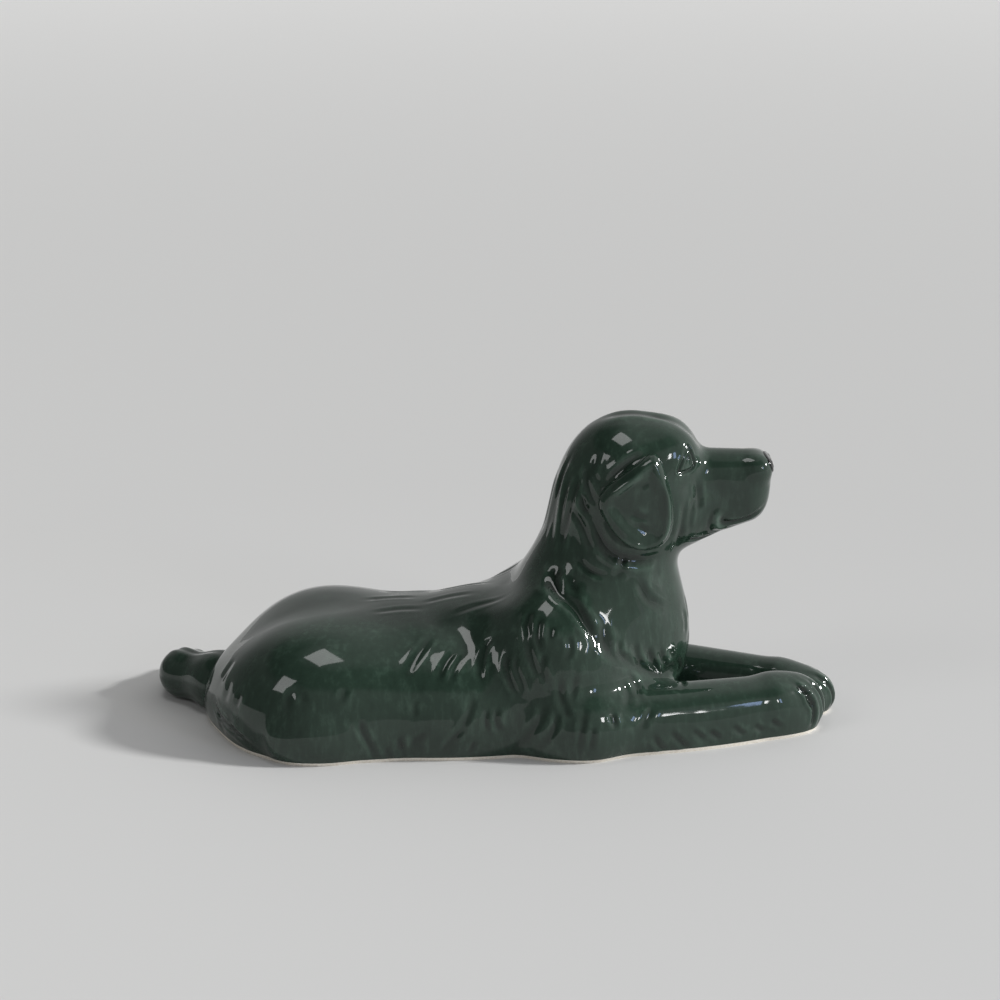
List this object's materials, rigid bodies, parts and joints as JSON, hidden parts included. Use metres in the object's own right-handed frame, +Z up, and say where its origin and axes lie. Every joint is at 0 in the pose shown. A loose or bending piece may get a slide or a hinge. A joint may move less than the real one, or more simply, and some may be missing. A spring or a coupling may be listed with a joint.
{
  "type": "dog figurine",
  "caption": "Lying retriever figurine with a raised head, slip cast in hollow sections, glazed dark green over a bare clay base slab.",
  "frame": {"origin": "on the underside of the base slab, under the barrel of the trunk, where the figurine stands", "axes": "+X towards the nose, +Y to the dog's left, +Z up"},
  "size_m": [0.3108, 0.1302, 0.1428],
  "materials": {
    "green_glaze": "high gloss dark grey-green glaze over earthenware",
    "black_glaze": "high gloss black glaze",
    "bare_clay": "matt unglazed fired clay"
  },
  "bodies": {
    "root": {"torso_casting": "green_glaze", "head_casting": "green_glaze", "right_foreleg_casting": "green_glaze", "left_foreleg_casting": "green_glaze", "tail_casting": "green_glaze", "right_ear": "green_glaze", "left_ear": "green_glaze", "nose": "black_glaze", "base_slab": "bare_clay"}
  },
  "joints": []
}
